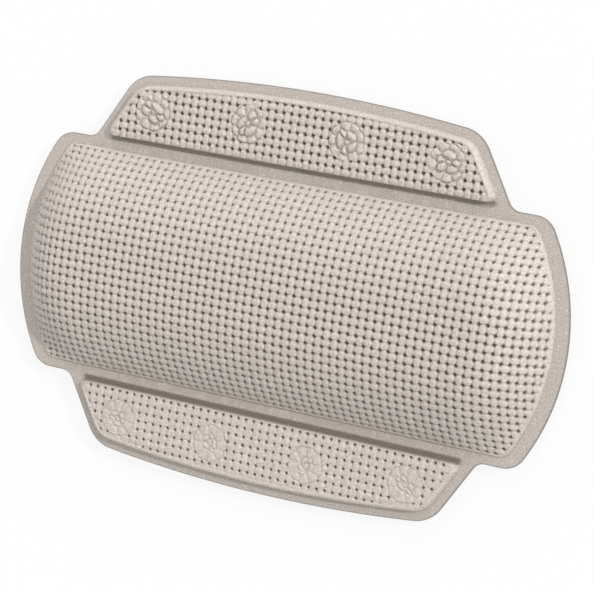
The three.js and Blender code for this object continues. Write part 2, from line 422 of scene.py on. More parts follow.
# columns follow the length of the curve along each row
rim_end = dome_rim[dome_rim[:, 0] > dome_end_from]
rim_end = rim_end[np.argsort(rim_end[:, 1], kind="stable")]
row_end = np.interp(row_y, rim_end[:, 1], rim_end[:, 0])
along_share = np.sin(np.linspace(0, math.pi / 2, end_steps))
flat_end = dome_foot_x(row_y) - dome_end_run
along_x = flat_end[:, None] + (row_end - flat_end)[:, None] * along_share
along_length = flat_end[:, None] + arc_length(along_x, dome_height(along_x, row_y[:, None]))
dome_columns = np.arange(-cells_along, cells_along)[:, None] + np.array(lines_in_cell)
dome_columns = np.sort(dome_columns.ravel() * dome_pitch_x + dome_phase_x)
longest_row = along_length[:, -1].max()
dome_columns = dome_columns[np.abs(dome_columns) < longest_row + spare_reach]

pillow_cover, column, row = add_grid("pillow_cover", len(dome_columns), len(dome_rows))
row_reach = along_length[:, -1]
along = dome_columns[column]
along = np.sign(along) * soft_limit(np.abs(along), row_reach[row], end_easing)
along[column == 0] = -row_reach[row[column == 0]]
last = column == len(dome_columns) - 1
along[last] = row_reach[row[last]]
x = np.abs(along)
for number in range(len(dome_rows)):
    here = (row == number) & (x > flat_end[number])
    x[here] = np.interp(x[here], along_length[number], along_x[number])
x *= np.sign(along)
y = row_y[row]
across = dome_rows[row]

# the weave is pressed in along the surface's normal and fades out in a smooth margin
from_end = row_reach[row] - np.abs(along)
from_side = across_length[-1] - np.abs(across)
margin = smooth((from_end - end_margin) / margin_run)
margin *= smooth((from_side - side_margin) / margin_run)
hole_size = 1 - upper_shrink * smooth(y / dome_half)
weave, hole = weave_form(
    (along - dome_phase_x) / dome_pitch_x, across / dome_pitch_y, dome_strand, dome_puff, hole_size)
step = 0.01  # for the slopes
slope_x = (dome_height(x + step, y) - dome_height(x - step, y)) / (2 * step)
slope_y = (dome_height(x, y + step) - dome_height(x, y - step)) / (2 * step)
normal = np.column_stack([-slope_x, -slope_y, np.ones_like(x)])
normal /= np.linalg.norm(normal, axis=1)[:, None]
surface = np.column_stack([x, y, cover_top + dome_height(x, y)])
relief = dome_relief * (1 - side_flattening * smooth(np.abs(y) / dome_half))
pressed = (relief * (1 - weave) + hole_depth * hole) * margin
place(pillow_cover, surface - normal * pressed[:, None])
shade_start = 0.3
shade_run = 0.35


def in_shade(hole):
    """Painted shade on the floor of a hole only; its rim is left light."""
    return smooth((hole - shade_start) / shade_run)


# painted shade: the floors of the holes and the grooves between the strands are darkened
painted_shade_of(pillow_cover)
painted_groove_shade = dome_groove_shade * smooth((dome_groove_level - weave) / dome_groove_run)
paint_shade(pillow_cover, np.maximum(in_shade(hole), painted_groove_shade) * margin)
merge_close(cell_merge_gap)
choose_rim()

# foot of the dome, where it meets the border: inset, rise and painted shade, which darkens the crease at
# the foot
weld_shade = 0.17  # the border is pressed smooth and a little darker
foot_steps = ((0.1, 0.3, 0.15), (-0.05, 0.08, 0.55), (-0.2, 0, 0.4), (-0.35, 0, weld_shade))
for inset, rise, crease in foot_steps:
    grow(pillow_cover, ring_at(dome_rim, dome_outline(inset), cover_top + rise), crease)
    dome_rim = dome_outline(inset)

# rounding of a welded edge: inset, depth and painted shade, which darkens the edge where it turns down
edge_merge_gap = 0.002
rim_steps = (
    (1.2, 0, weld_shade), (0.9, 0, 0.3), (0.45, 0.07, 0.6), (0.13, 0.3, 0.9), (0, 0.6, 0.9))


def welded_edge(name, border, face, far):
    """The rounded outer edge of a sheet or cover, from its outer face round to its hidden one."""
    inward = math.copysign(1, far - face)
    before, _, crease = rim_steps[0]
    edge = add_ring(name, border(before), face)
    # painted shade along the edge, ring by ring
    paint_shade(edge, painted_shade_of(edge) + crease)
    choose_all()
    for inset, depth, crease in rim_steps[1:] + ((0, abs(far - face), rim_steps[-1][2]),):
        grow(edge, ring_at(border(before), border(inset), face + inward * depth), crease)
        before = inset
    merge_close(edge_merge_gap)
    return edge


join(pillow_cover, welded_edge("pillow_cover_edge", pillow_border, cover_top, cover_low))
fill_level(pillow_cover, cover_top)
fill_level(pillow_cover, cover_low)
close_up()


class Wire:
    """A socket in a material's nodes. Arithmetic on it adds Math nodes."""

    def __init__(self, tree, socket=None):
        self.tree = tree
        self.socket = socket

    def node(self, kind, settings, inputs, output=0):
        """Any other node: its settings, then the values or links of its sockets."""
        made = self.tree.nodes.new(kind)
        for name, value in settings.items():
            setattr(made, name, value)
        for name, value in inputs.items():
            if isinstance(value, Wire):
                self.tree.links.new(value.socket, made.inputs[name])
            else:
                made.inputs[name].default_value = value
        return Wire(self.tree, made.outputs[output] if made.outputs else None)

    def math(self, operation, first, second):
        return self.node("ShaderNodeMath", {"operation": operation}, {0: first, 1: second})

    def __add__(self, other):
        return self.math("ADD", self, other)

    def __sub__(self, other):
        return self.math("SUBTRACT", self, other)

    def __mul__(self, other):
        return self.math("MULTIPLY", self, other)

    def __rsub__(self, other):
        return self.math("SUBTRACT", other, self)

    __radd__ = __add__
    __rmul__ = __mul__


def new_material(name):
    material = bpy.data.materials.new(name)
    material.use_nodes = True
    material.node_tree.nodes.clear()
    return material, Wire(material.node_tree)


def linear(red, green, blue):
    """A colour as it is read off a screen, for a node."""
    def one(level):
        level /= 255
        return level / 12.92 if level < 0.04045 else ((level + 0.055) / 1.055) ** 2.4
    return (one(red), one(green), one(blue), 1)


def mix_colour(wire, share, first, second):
    """Sockets 6 and 7 of a Mix node are its two colours, and its third output is the colour."""
    return wire.node("ShaderNodeMix", {"data_type": "RGBA"}, {0: share, 6: first, 7: second}, 2)


# painted shade darkens the vinyl towards this colour in holes, grooves, creases, the fold and along
# edges
deep_shade = linear(98, 87, 79)
shade_strength = 0.9


def pressed_vinyl():
    """Satin beige vinyl with a fine grain, a little mottled, with painted shade and painted glints."""
    material, wire = new_material("pressed_vinyl")
    place_in_piece = wire.node("ShaderNodeTexCoord", {}, {}, "Object")
    hole = wire.node("ShaderNodeAttribute", {"attribute_name": "hole"}, {}, "Fac")
    mottle = wire.node(
        "ShaderNodeTexNoise", {}, {"Vector": place_in_piece, "Scale": 90, "Detail": 3}, "Fac")
    grain = wire.node(
        "ShaderNodeTexNoise", {},
        {"Vector": place_in_piece, "Scale": 850, "Detail": 3, "Roughness": 0.7}, "Fac")
    fleck = wire.node(
        "ShaderNodeMapRange", {}, {"Value": grain, "From Min": 0.4, "From Max": 0.6}, "Result")
    grained = mix_colour(wire, fleck, linear(184, 173, 164), linear(219, 210, 202))
    glint = wire.node(
        "ShaderNodeTexNoise", {}, {"Vector": place_in_piece, "Scale": 420, "Detail": 1}, "Fac")
    speck = wire.node(
        "ShaderNodeMapRange", {}, {"Value": glint, "From Min": 0.64, "From Max": 0.74}, "Result")
    mottled = mix_colour(wire, mottle * 0.4, grained, linear(203, 193, 184))
    # painted glints: bright specks on the smooth border, kept out of the deeper painted shade
    welded = wire.node(
        "ShaderNodeMapRange", {}, {"Value": hole, "From Min": 0.06, "From Max": 0.16}, "Result")
    deep_painted_shade = wire.node(
        "ShaderNodeMapRange", {}, {"Value": hole, "From Min": 0.2, "From Max": 0.4}, "Result")
    painted_glints = speck * welded * (1 - deep_painted_shade) * 0.6
    vinyl = mix_colour(wire, painted_glints, mottled, linear(244, 238, 231))
    # painted shade from the "hole" attribute
    shaded = mix_colour(wire, hole * shade_strength, vinyl, deep_shade)
    bump = wire.node(
        "ShaderNodeBump", {}, {"Strength": 0.45, "Distance": 0.0003, "Height": fleck}, "Normal")
    shader = wire.node(
        "ShaderNodeBsdfPrincipled", {},
        {"Base Color": shaded, "Roughness": mottle * 0.16 + 0.42, "Normal": bump})
    wire.node("ShaderNodeOutputMaterial", {}, {"Surface": shader})
    return material


vinyl_front = pressed_vinyl()
pillow_cover.data.materials.append(vinyl_front)
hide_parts("pillow_front_skin", "pillow_foam_core")
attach(pillow_cover, "pillow")


# Flap covers. Each flap's front is the same pressed vinyl over a thin foam pad, and runs on as one
# sheet across the fold to the foot of the dome. Four rosettes are pressed into it over the cups.
# It is welded down round the pad, and the weld along the pad's root is the fold.
flap_shoulder = 26.5
flap_depth = 48
flap_taper = 28.5
flap_bow = 8.5
flap_corner_round = 25
notch_round = 10
pad_border = 6.5
pad_root_y = half_width + 3
pad_root_round = 4
pad_rise = 5.7
pad_round = 1.8
pad_draft = 1
pad_crown = 0.8
pad_crown_run = 5.2
pad_inset = pad_draft + pad_round  # the flat of the pad begins this far in from its foot
root_steepness = 0.4  # the wall along the root leans less than the others
flap_root_half = corner_half_length - flap_shoulder
flap_tip_half = flap_root_half - flap_taper
tip_radius = (flap_tip_half**2 + flap_bow**2) / (2 * flap_bow)
tip_centre = half_width + flap_depth + flap_bow - tip_radius
side_along = np.array([-flap_taper, flap_depth]) / math.hypot(flap_taper, flap_depth)
side_normal = np.array([side_along[1], -side_along[0]])
side_angle = math.atan2(side_normal[1], side_normal[0])
side_reach = side_normal @ (flap_root_half, half_width)


def mirrored(half):
    """A closed outline from its right half, which runs from the root's middle to the tip's."""
    return np.concatenate([half, half[-2:0:-1] * (-1, 1)])


def flap_tip(inset):
    """Right half of a flap's outer edge, from its side round the corner to the middle."""
    radius = flap_corner_round - inset
    bulge = tip_radius - inset
    on_side = side_normal * (side_reach - inset - radius)
    from_top = on_side - (0, tip_centre)
    lean = from_top @ side_along
    climb = math.sqrt(lean**2 - from_top @ from_top + (bulge - radius) ** 2) - lean
    x, y = on_side + side_along * climb
    turn = math.atan2(y - tip_centre, x)
    return path(
        arc(x, y, radius, side_angle, turn, 30),
        arc(0, tip_centre, bulge, turn, math.pi / 2, 100),
    )


def pad_half(drawn):
    y = pad_root_y + root_steepness * drawn + pad_root_round
    x = (side_reach - pad_border - drawn - pad_root_round - side_normal[1] * y) / side_normal[0]
    root = line((0, y - pad_root_round), (x, y - pad_root_round), 120)
    corner = arc(x, y, pad_root_round, -math.pi / 2, side_angle, 16)
    tip = flap_tip(pad_border + drawn)
    return path(root, corner, line(corner[-1], tip[0], 40), tip)


def pad_outline(drawn):
    return mirrored(pad_half(drawn))


def flap_border(inset):
    """A flap's edge: along the foot of the dome, out to the notch, and round the flap."""
    seam = seam_y + seam_gap
    end = fold_half_length - seam_gap
    edge = half_width - inset
    notch = arc(
        fold_half_length, half_width + notch_round, notch_round + inset,
        1.5 * math.pi, math.pi + side_angle, 20)
    tip = flap_tip(inset)
    return mirrored(
        path(
            line((0, seam), (end, seam), 110),
            line((end, seam), (end, edge), 10),
            notch,
            line(notch[-1], tip[0], 40),
            tip,
        )
    )


def distance_to(points, outline):
    """Distance of each point from the nearest point of a finely drawn outline."""
    parts = np.array_split(points, max(1, len(points) // 2000))
    return np.concatenate(
        [np.sqrt(((part[:, None] - outline) ** 2).sum(axis=2).min(axis=1)) for part in parts])


def finely(points, spacing):
    """A run of points drawn again with even, small steps."""
    length = np.concatenate([[0], np.hypot(*np.diff(points, axis=0).T).cumsum()])
    at = np.arange(0, length[-1], spacing)
    return np.column_stack([np.interp(at, length, points[:, 0]), np.interp(at, length, points[:, 1])])


cup_spots = [(-114.3, 110.692), (-38.1, 113.456), (38.1, 113.456), (114.3, 110.692)]
flap_pitch = 6.1
flap_relief = {"upper": 1.7, "lower": 0.85}
flap_strand = {"upper": (0.66, 0.42, 2.4), "lower": (0.66, 0.42, 2.6)}  # as dome_strand
flap_puff = 0.42
flap_hole_depth = 1.2
flap_hole = {"upper": 1, "lower": 0.8}
# painted shade in the grooves between strands
groove_shade = {"upper": 0.45, "lower": 0}
flap_groove_level = 0.6
flap_groove_run = 0.4
flap_spacing = 0.42
hole_row = {"upper": 88.8, "lower": 91.4}  # the first row of holes, beside the pad's root
rosette_radius = 13.3
lobes = 9
lobe_dent = 0.7
petals = 5
petal_reach = {"upper": 8.8, "lower": 6.4}
petal_unevenness = 0.8
petal_dent = 2.2
eye_radius = 2.2
lobe_share = 0.3  # the lines between the lobes of the ring are fainter
line_width = 0.55
rosette_spin = 1.9  # each is turned on from the one before
petal_waver = 0.8
waver_lengths = (2.6, 2.9)
petal_spread = ((0.28, 2, 1), (0.12, 3, 0.5))  # size, count and start of each unevenness
petal_start = 0.4
reach_start = 2
clear_start = 0.1
clear_run = 0.9
ring_phase = 2.2  # turns the break in the ring
ring_fade = 0.7
petal_fullness = 1.0
lobe_fullness = 0.65
eye_fullness = 0.4
puff_run = 1.3
rosette_sink = 0.5
line_press = 0.45
dot_press = 0.5
ring_press = 0.3
dark_mean = 0.55
dark_swing = 0.45
dark_phase = 2.6  # turns the side on which the painted shade in the lines is heaviest
depth_easing = 0.3
ring_share = {"upper": 0.8, "lower": 1.4}  # the ring round an upper rosette is broken
rosette_press = {"upper": 2.1, "lower": 0.75}
# painted shade in the rosettes' lines and dents, heavier on one side
rosette_shade = {"upper": 0.52, "lower": 0.3}
rosette_deepest = 1.5  # keeps the pad whole over the head of the cup
rosette_dots = [(3.4, -0.5), (3.7, 1.5), (3.5, 3.6)]  # radius and angle
dot_radius = 1.3


def scalloped(turn, count, reach, dent):
    """A flower's outline: its reach at each angle, and the distance to the nearest split per radius."""
    lobe = turn * count / 2
    outline = reach - dent * (1 - np.abs(np.cos(lobe)))
    split = np.abs((lobe / math.pi) % 1 - 0.5) * 2 * math.pi / count
    return outline, split


def rosette(side, x, y, spin):
    """A pressed rosette: its depth, the painted shade of its lines and dents, and where it clears the
    weave.
    """
    from_centre = np.hypot(x, y)
    rim, lobe_split = scalloped(np.arctan2(y, x) + spin, lobes, rosette_radius, lobe_dent)
    clear = 1 - smooth((from_centre - rim - clear_start) / clear_run)
    x = x + petal_waver * np.sin(y / waver_lengths[0] + spin)
    y = y + petal_waver * np.sin(x / waver_lengths[1] + 2 * spin)
    r = np.hypot(x, y)
    turn = np.arctan2(y, x) + spin
    uneven = turn
    for size, count, start in petal_spread:
        uneven = uneven + size * np.sin(count * turn + start)
    reach = petal_reach[side] + petal_unevenness * np.sin(2 * turn + reach_start)
    petal, petal_split = scalloped(uneven + petal_start, petals, reach, petal_dent)
    in_petal = (r > eye_radius) & (r < petal)
    in_lobe = (r >= petal) & (from_centre < rim)
    from_lobe = np.where(in_lobe, lobe_split * from_centre, rosette_radius)
    from_split = np.where(in_petal, petal_split * r, rosette_radius)
    from_line = np.minimum.reduce([np.abs(r - petal), np.abs(r - eye_radius), from_split])
    ring = np.exp(-(((from_centre - rim) / line_width) ** 2))
    ring *= smooth((np.sin(turn + ring_phase) + ring_share[side]) / ring_fade)
    lines = np.maximum(clear * np.exp(-((from_line / line_width) ** 2)), ring)
    lines = np.maximum(lines, lobe_share * clear * np.exp(-((from_lobe / line_width) ** 2)))
    fullness = np.where(in_petal, petal_fullness, np.where(in_lobe, lobe_fullness, eye_fullness))
    puff = fullness * (1 - np.exp(-((np.minimum(from_line, from_lobe) / puff_run) ** 2)))
    dots = np.zeros_like(r)
    for reach, angle in rosette_dots:
        from_dot = np.hypot(
            x - reach * math.cos(angle - spin), y - reach * math.sin(angle - spin))
        dots = np.maximum(dots, 1 - smooth(from_dot / dot_radius))
    depth = rosette_press[side] * ((rosette_sink - puff) * clear + line_press * lines)
    depth = depth + dot_press * dots + ring_press * ring
    depth = soft_limit(depth, rosette_deepest, depth_easing)
    # painted shade along the lines, heavier on one side
    painted_shade = lines * (dark_mean + dark_swing * np.sin(turn - spin - dark_phase))
    return depth, np.maximum(painted_shade, dots), clear


def flap_weave(side, x, y):
    """Depth of the weave pressed into a flap, and the painted shade of its holes and grooves."""
    row = (y - hole_row[side]) / flap_pitch
    strands, hole = weave_form(x / flap_pitch, row, flap_strand[side], flap_puff, flap_hole[side])
    painted_groove_shade = groove_shade[side] * smooth((flap_groove_level - strands) / flap_groove_run)
    depth = flap_relief[side] * (1 - strands) + flap_hole_depth * hole
    return depth, np.maximum(in_shade(hole), painted_groove_shade)


def turned(side, points):
    """Points of the upper flap, turned half round for the lower one."""
    return points if side == "upper" else points * (-1, -1, 1)


fold_lines = np.linspace(80.6, 87.9, 16)
fold_margin = 16  # the fold is flat this near the flap's edges
fold_margin_run = 4


def score_fold():
    """Cuts lines along the fold, for it to bend along, and two across each of its ends."""
    bpy.ops.object.mode_set(mode="EDIT")
    for y in fold_lines:
        bpy.ops.mesh.select_all(action="SELECT")
        bpy.ops.mesh.bisect(plane_co=(0, y / 1000, 0), plane_no=(0, 1, 0))
    for run in (0, fold_margin_run):
        x = (fold_half_length - fold_margin - run) / 1000
        for end in (x, -x):
            bpy.ops.mesh.select_all(action="SELECT")
            bpy.ops.mesh.bisect(plane_co=(end, 0, 0), plane_no=(1, 0, 0))
    bpy.ops.object.mode_set(mode="OBJECT")


fold_depth = 1.2
dip_from = 84.8  # where the dip begins and how soon it is deep, and the same for its end
dip_from_run = 2.8
dip_to = 89.2
dip_to_run = 1
# painted shade along the fold
fold_dark_from = 83.6
fold_dark_from_run = 4.2
fold_dark_to = 89.9
fold_dark_to_run = 0.8
fold_reach = 0.9  # only points this near the border's level dip
fold_top_margin = 0.1
fold_shade = {"upper": 0.64, "lower": 0.85}
root_shade_low = 0.5  # the pad's root wall has painted shade up to here
root_shade_run = 3


def fold_dip(points):
    """How far the front is pressed in along the fold, from its middle to the pad's root."""
    y = points[:, 1]
    ends = smooth((fold_half_length - fold_margin - np.abs(points[:, 0])) / fold_margin_run)
    dip = fold_depth * ends * smooth((y - dip_from) / dip_from_run)
    return dip * (1 - smooth((y - dip_to) / dip_to_run))


def fold_painted_shade(side, points):
    """Painted shade along the fold, and up the wall of the pad that rises from it."""
    x, y, z = points.T
    ends = smooth((fold_half_length - fold_margin - np.abs(x)) / fold_margin_run)
    across = smooth((y - fold_dark_from) / fold_dark_from_run)
    across = across * (1 - smooth((y - fold_dark_to) / fold_dark_to_run))
    height = 1 - smooth((z - cover_top - root_shade_low) / root_shade_run)
    return fold_shade[side] * ends * across * height * (z > cover_top - fold_top_margin)


pad_easing = 0.3
outline_spacing = 0.5
bead_rise = 0.3
bead_inset = 0.2
bead_width = 0.9
weave_margin = 0.5
weave_margin_run = 1.5
# the pad's wall and foot: inset, rise and painted shade, which darkens its foot
wall_steps = (
    (0.7, 2.2, 0), (0.3, 0.55, 0.15), (0.08, 0.15, 0.5),
    (-0.15, 0, 0.3), (-0.3, 0, weld_shade))


def flap_cover(side):
    """The front of a flap: a puffed pad with its weave and rosettes, its wall, border and fold."""
    half = pad_half(pad_inset)
    widest = half[:, 0].argmax()
    reach = half[widest, 0]
    columns = np.linspace(-reach, reach, int(2 * reach / flap_spacing))
    low = np.interp(np.abs(columns), half[: widest + 1, 0], half[: widest + 1, 1])
    high = np.interp(np.abs(columns), half[widest:, 0][::-1], half[widest:, 1][::-1])
    rows = np.linspace(low.min(), high.max(), int((high.max() - low.min()) / flap_spacing))
    cover, column, row = add_grid(side + "_flap_cover", len(columns), len(rows))
    x = columns[column]
    y = -soft_limit(-rows[row], -low[column], pad_easing)
    y = soft_limit(y, high[column], pad_easing)
    y = np.where(row == 0, low[column], y)
    y = np.where(row == len(rows) - 1, high[column], y)
    y = np.clip(y, low[column], high[column])

    # crown of the pad, the smooth bead round its outer edges, the weave and the rosettes
    spots = np.column_stack([x, y])
    outer = finely(np.concatenate([half[widest:], half[:widest - 1:-1] * (-1, 1)]), outline_spacing)
    from_outer = distance_to(spots, outer)
    from_rim = np.minimum(from_outer, y - low.min())
    crown = pad_crown * smooth(from_rim / pad_crown_run)
    bead = bead_rise * np.exp(-(((from_outer - bead_inset) / bead_width) ** 2))
    woven = smooth((from_outer - weave_margin) / weave_margin_run)
    pressed = np.zeros_like(x)
    # painted shade of the rosettes' lines and dents
    drawn = np.zeros_like(x)
    for number, (cup_x, cup_y) in enumerate(cup_spots):
        deep, painted_shade, clear = rosette(side, x - cup_x, y - cup_y, number * rosette_spin)
        pressed += deep
        drawn = np.maximum(drawn, rosette_shade[side] * painted_shade)
        woven *= 1 - clear
    weave, painted_shade = flap_weave(side, x, y)
    z = cover_top + pad_rise + crown + bead - pressed - weave * woven
    place(cover, np.column_stack([x, y, z]))
    painted_shade_of(cover)
    # painted shade in the weave's holes and grooves and in the rosettes
    paint_shade(cover, np.maximum(painted_shade * woven, drawn))
    merge_close(cell_merge_gap)

    # round the pad's edge, down its wall and out on to the border; the weave runs over the root edge
    choose_rim()
    rounding = np.radians([22.5, 45, 67.5, 90])
    steps = [
        (pad_draft + pad_round * (1 - math.sin(a)), pad_rise - pad_round * (1 - math.cos(a)), a, 0)
        for a in rounding
    ]
    upright = math.pi / 2
    steps += [(inset, rise, upright, crease) for inset, rise, crease in wall_steps]
    near = pad_outline(pad_inset)
    for inset, rise, lean, crease in steps:
        far = pad_outline(inset)
        grow(cover, pad_ring(side, near, far, cover_top + rise, lean), crease)
        near = far

    # underside, punched out over each cup's patch
    edge = welded_edge(side + "_flap_cover_edge", flap_border, cover_top, cover_low)
    punches = [punch(spot) for spot in cup_spots]
    join(cover, edge, *punches)
    fill_level(cover, cover_top)
    fill_level(cover, cover_low)
    score_fold()
    points = points_of(cover)
    on_top = np.abs(points[:, 2] - cover_top) < fold_reach
    # painted shade along the fold and the pad's root wall
    paint_shade(cover, np.maximum(painted_shade_of(cover), fold_painted_shade(side, points)))
    points[:, 2] -= np.where(on_top, fold_dip(points), 0)
    place(cover, turned(side, points))
    close_up()
    return cover


root_weave_half = 132
root_weave_run = 4
root_band = 3


def pad_ring(side, near, far, z, lean):
    """A ring of a pad's edge, with the weave still pressed into it along the pad's root."""
    def where(points):
        moved = follow(points, near, far)
        level = np.full(len(moved), z)
        on_root = smooth((root_weave_half - np.abs(moved[:, 0])) / root_weave_run)
        on_root = on_root * (moved[:, 1] < pad_root_y + root_band)
        weave = flap_weave(side, moved[:, 0], moved[:, 1])[0]
        deep = weave * on_root * math.cos(lean) ** 2
        moved[:, 1] += deep * math.sin(lean)
        level -= deep * math.cos(lean)
        return np.column_stack([moved, level])
    return where


punch_radius = 11.5
punch_top = 16.4
punch_sides = 40


def circle_at(spot, radius, sides):
    return arc(*spot, radius, 0, 2 * math.pi, sides + 1)[:-1]


def punch(spot):
    """Room in the pad's underside for a patch and for the head of its cup."""
    circle = circle_at(spot, punch_radius, punch_sides)
    room = add_ring("punch", circle, punch_top)
    bpy.ops.object.mode_set(mode="EDIT")
    bpy.ops.mesh.select_all(action="SELECT")
    bpy.ops.mesh.edge_face_add()
    bpy.ops.object.mode_set(mode="OBJECT")
    choose_rim()
    grow(room, ring_at(circle, circle, cover_low))
    return room


def bend_with_flap(piece, side):
    """Bakes the piece's placement into its points; it is not bent across the fold."""
    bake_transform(piece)


for side in ("upper", "lower"):
    cover = flap_cover(side)
    cover.data.materials.append(vinyl_front)
    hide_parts(side + "_flap_front_skin", side + "_flap_foam_pad", side + "_hinge_web")
    bend_with_flap(cover, side)


# Pillow back. A plain sheet of fine-grained vinyl closes the pillow from behind. It is welded to the
# cover along the border and once more round the foam, which makes it bulge a little.
back_bulge = 1.4
back_spacing = 3
weld_steps = ((1.25, 0.3), (0.75, 0.3), (0.4, 0))  # rings of the pressed weld line: inset, depth
weld_inner = 1.6
bulge_run = 40
end_share = 0.8  # beyond this share of its reach, an outline is on its end


def open_rows(outline, rows):
    """How far an outline reaches to the right at each row."""
    right = outline[outline[:, 0] > end_share * outline[:, 0].max()]
    right = right[np.argsort(right[:, 1], kind="stable")]
    return np.interp(rows, right[:, 1], right[:, 0])


inner = dome_outline(weld_inner)
top = inner[:, 1].max()
rows = np.linspace(inner[:, 1].min(), top, int(2 * top / back_spacing))
reach = open_rows(inner, rows)
columns = np.linspace(-1, 1, int(2 * reach.max() / back_spacing))
pillow_back, column, row = add_grid("pillow_back", len(columns), len(rows))
x = columns[column] * reach[row]
y = rows[row]
from_weld = np.minimum(top - np.abs(y), reach[row] - np.abs(x))
bulge = back_bulge * smooth(from_weld / bulge_run)
place(pillow_back, np.column_stack([x, y, back_low - bulge]))
choose_rim()
near = inner
for inset, depth in weld_steps:
    grow(pillow_back, ring_at(near, dome_outline(inset), back_low + depth))
    near = dome_outline(inset)
join(pillow_back, welded_edge("pillow_back_edge", pillow_border, back_low, back_top))
fill_level(pillow_back, back_low)
fill_level(pillow_back, back_top)
close_up()


def grained_vinyl():
    """Matt beige sheet vinyl with a fine leathery grain, with painted shade along its edges."""
    material, wire = new_material("grained_vinyl")
    place_in_piece = wire.node("ShaderNodeTexCoord", {}, {}, "Object")
    mottle = wire.node(
        "ShaderNodeTexNoise", {}, {"Vector": place_in_piece, "Scale": 60, "Detail": 3}, "Fac")
    grain = wire.node(
        "ShaderNodeTexVoronoi", {"feature": "DISTANCE_TO_EDGE"},
        {"Vector": place_in_piece, "Scale": 900}, "Distance")
    crease = wire.node(
        "ShaderNodeMapRange", {}, {"Value": grain, "From Min": 0.0, "From Max": 0.25}, "Result")
    vinyl = mix_colour(wire, mottle, linear(186, 175, 166), linear(198, 188, 179))
    grained = mix_colour(wire, crease, linear(168, 157, 148), vinyl)
    # painted shade along the edges, from the "hole" attribute
    painted_edge_shade = wire.node("ShaderNodeAttribute", {"attribute_name": "hole"}, {}, "Fac")
    shaded = mix_colour(wire, painted_edge_shade * shade_strength, grained, deep_shade)
    bump = wire.node(
        "ShaderNodeBump", {}, {"Strength": 0.4, "Distance": 0.0001, "Height": crease}, "Normal")
    shader = wire.node(
        "ShaderNodeBsdfPrincipled", {},
        {"Base Color": shaded, "Roughness": mottle * 0.12 + 0.52, "Normal": bump})
    wire.node("ShaderNodeOutputMaterial", {}, {"Surface": shader})
    return material


vinyl_back = grained_vinyl()
pillow_back.data.materials.append(vinyl_back)
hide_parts("pillow_back_sheet")
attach(pillow_back, "pillow")


pillow_border(0)


# Flap backs. The same sheet behind each flap, welded round the pad and along the border, and creased
# along the fold. Each cup's neck passes through a hole punched in it.
neck_hole = 3.65
neck_sides = 32
fold_crease = 0.35
fold_middle = 84.3
fold_crease_width = 1.2
weld_outer = -0.6
flap_weld_steps = ((-0.25, 0.3), (0.25, 0.3), (0.6, 0))  # inset, depth


def flap_back(side):
    """The back of a flap: its weld line, border, fold and four holes for the cups."""
    back = add_ring(side + "_flap_back", pad_outline(weld_outer), back_low)
    edge = welded_edge(side + "_flap_back_edge", flap_border, back_low, back_top)
    join(back, edge)
    fill_level(back, back_low)
    choose_level(back, back_low)
    bpy.ops.object.mode_set(mode="OBJECT")
    near = pad_outline(weld_outer)
    for drawn, depth in flap_weld_steps:
        grow(back, ring_at(near, pad_outline(drawn), back_low + depth))
        near = pad_outline(drawn)
    holes = []
    for spot in cup_spots:
        circle = circle_at(spot, neck_hole, neck_sides)
        hole = add_ring("neck_hole", circle, back_low)
        choose_all()
        grow(hole, ring_at(circle, circle, back_top))
        holes.append(hole)
    join(back, *holes)
    fill_level(back, back_low)
    fill_level(back, back_top)
    score_fold()
    points = points_of(back)
    crease = fold_crease * np.exp(-(((points[:, 1] - fold_middle) / fold_crease_width) ** 2))
    points[:, 2] += np.where(np.abs(points[:, 2] - back_low) < level_tolerance, crease, 0)
    place(back, turned(side, points))
    close_up()
    return back


for side in ("upper", "lower"):
    back = flap_back(side)
    back.data.materials.append(vinyl_back)
    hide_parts(side + "_flap_back_sheet")
    bend_with_flap(back, side)
    flap_border(0)


# Cup patches. Eight rings of back vinyl reinforce the holes from inside. They are sealed in between
# the back sheet and the pad, so the plain solids stay and take the sheet's finish.
for side in ("upper", "lower"):
    for number in range(1, 5):
        patch = bpy.data.objects[f"{side}_cup_patch_{number}"]
        patch.data.materials.clear()
        patch.data.materials.append(vinyl_back)


# Suction cups. Eight cups moulded in soft clear vinyl, one behind each rosette: a thin bell with a
# flat sealing rim, a short neck through the flap's back and a button head that holds it there.
cup_radius = 16
lip_width = 2
lip_edge = 0.8
bell_height = 9
bell_hollow = 6.3
neck_radius = 3.25
head_low = 14.2
head_top = 16
head_radius = 6.5
pole_radius = 0.4  # where the flat middles are filled
cup_sides = 48
lip_inner = cup_radius - lip_width
inside = [(r, bell_hollow * (1 - (r / lip_inner) ** 2)) for r in np.linspace(pole_radius, lip_inner, 14)]
outside = [
    (neck_radius + (cup_radius - neck_radius) * s, lip_edge + (bell_height - lip_edge) * (1 - s**2))
    for s in np.linspace(1, 0.06, 16)
]

# half section of a cup, from the middle of its hollow to the middle of its head
cup_profile = inside + [
    (lip_inner + 0.3, 0), (cup_radius - 0.3, 0), (cup_radius - 0.08, 0.08), (cup_radius, 0.3),
    *outside,
    (neck_radius + 0.3, bell_height), (neck_radius, bell_height + 0.3),
    (neck_radius, head_low - 0.4), (neck_radius + 0.15, head_low - 0.1),
    (neck_radius + 0.45, head_low), (head_radius - 0.3, head_low),
    (head_radius - 0.08, head_low + 0.1), (head_radius, head_low + 0.4),
    (head_radius, head_top - 0.9), (head_radius - 0.2, head_top - 0.4),
    (head_radius - 0.7, head_top - 0.1), (head_radius - 1.4, head_top), (pole_radius, head_top),
]
bpy.ops.object.select_all(action="DESELECT")
bpy.ops.mesh.primitive_circle_add(vertices=cup_sides, radius=1, fill_type="NOTHING")
first_cup = begin("first_cup")
round_way = points_of(first_cup) / 1000
choose_all()
radius, z = cup_profile[0]
place(first_cup, round_way * (radius, radius, 0) + (0, 0, z))


def spun(radius, z):
    """A place for a grown ring: round the cup's axis, at a level."""
    def where(points):
        around = points[:, :2] / np.linalg.norm(points[:, :2], axis=1)[:, None]
        return np.column_stack([around * radius, np.full(len(points), z)])
    return where


